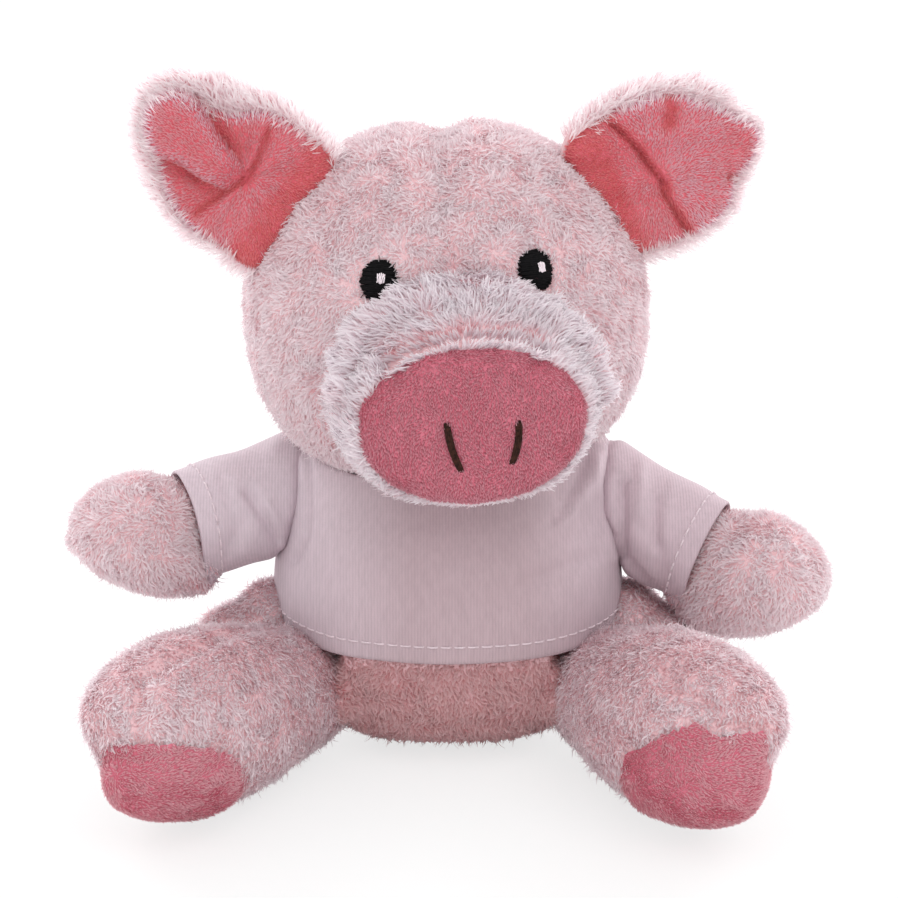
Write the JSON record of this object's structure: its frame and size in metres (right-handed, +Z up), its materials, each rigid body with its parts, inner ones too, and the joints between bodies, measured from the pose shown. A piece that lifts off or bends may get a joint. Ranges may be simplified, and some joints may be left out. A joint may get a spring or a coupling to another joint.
{
  "type": "plush pig",
  "caption": "Sitting plush pig of curly pink pile in a white T-shirt, with a velour nose, soles and ear linings; head, ears, arms, legs and tail move.",
  "frame": {"origin": "on the flat that the pig sits on, under the middle of its body", "axes": "+Z up, the pig faces -Y, and its own left is +X"},
  "size_m": [0.1743, 0.1385, 0.1565],
  "materials": {
    "plush": "curly pile plush",
    "velour": "short velour pile",
    "ear_velour": "short velour pile",
    "jersey": "fine knit jersey",
    "black_thread": "satin stitch",
    "white_thread": "satin stitch",
    "brown_thread": "satin stitch",
    "fibre": "polyester fibre"
  },
  "bodies": {
    "torso": {"body_skin": "plush", "body_filling": "fibre", "shirt_front": "jersey", "shirt_back": "jersey", "neckband": "jersey"},
    "head": {"head_skin": "plush", "head_filling": "fibre", "muzzle_skin": "plush", "muzzle_filling": "fibre", "nose_pad": "velour", "nostril_stitch_left": "brown_thread", "nostril_stitch_right": "brown_thread", "eye_left": "black_thread", "eye_right": "black_thread", "eye_highlight_left": "white_thread", "eye_highlight_right": "white_thread"},
    "ear_left": {"ear_fur_left": "plush", "ear_lining_left": "ear_velour"},
    "arm_left": {"arm_skin_left": "plush", "arm_filling_left": "fibre", "sleeve_left": "jersey"},
    "leg_left": {"leg_skin_left": "plush", "leg_filling_left": "fibre", "sole_pad_left": "velour"},
    "ear_right": {"ear_fur_right": "plush", "ear_lining_right": "ear_velour"},
    "arm_right": {"arm_skin_right": "plush", "arm_filling_right": "fibre", "sleeve_right": "jersey"},
    "leg_right": {"leg_skin_right": "plush", "leg_filling_right": "fibre", "sole_pad_right": "velour"},
    "tail": {"tail": "velour"}
  },
  "joints": [
    {"name": "head_nod", "type": "hinge", "parent": "torso", "child": "head", "pos_m": [0, 0.002, 0.0425], "axis": [1, 0, 0], "range_deg": [-8, 8], "stiffness_Nm_per_rad": 0.25},
    {"name": "arm_left_swing", "type": "hinge", "parent": "torso", "child": "arm_left", "pos_m": [0.041, -0.004, 0.051], "axis": [0, -1, 0], "range_deg": [-10, 20], "stiffness_Nm_per_rad": 0.02},
    {"name": "arm_right_swing", "type": "hinge", "parent": "torso", "child": "arm_right", "pos_m": [-0.041, -0.004, 0.054], "axis": [0, 1, 0], "range_deg": [-10, 20], "stiffness_Nm_per_rad": 0.02},
    {"name": "leg_left_lift", "type": "hinge", "parent": "torso", "child": "leg_left", "pos_m": [0.036, -0.025, 0.0165], "axis": [-1, 0, 0], "range_deg": [0, 16], "stiffness_Nm_per_rad": 0.03},
    {"name": "leg_right_lift", "type": "hinge", "parent": "torso", "child": "leg_right", "pos_m": [-0.036, -0.025, 0.0165], "axis": [-1, 0, 0], "range_deg": [0, 16], "stiffness_Nm_per_rad": 0.03},
    {"name": "ear_left_flap", "type": "hinge", "parent": "head", "child": "ear_left", "pos_m": [0.03478, -0.0043, 0.12706], "axis": [0.3855, 0.0371, -0.922], "range_deg": [-7, 15], "stiffness_Nm_per_rad": 0.006},
    {"name": "ear_right_flap", "type": "hinge", "parent": "head", "child": "ear_right", "pos_m": [-0.03722, -0.01123, 0.1239], "axis": [0.6119, 0.0589, 0.7887], "range_deg": [-7, 15], "stiffness_Nm_per_rad": 0.006},
    {"name": "tail_wag", "type": "hinge", "parent": "torso", "child": "tail", "pos_m": [0, 0.03603, 0.018], "axis": [0, 0, 1], "range_deg": [-15, 15], "stiffness_Nm_per_rad": 0.002}
  ]
}
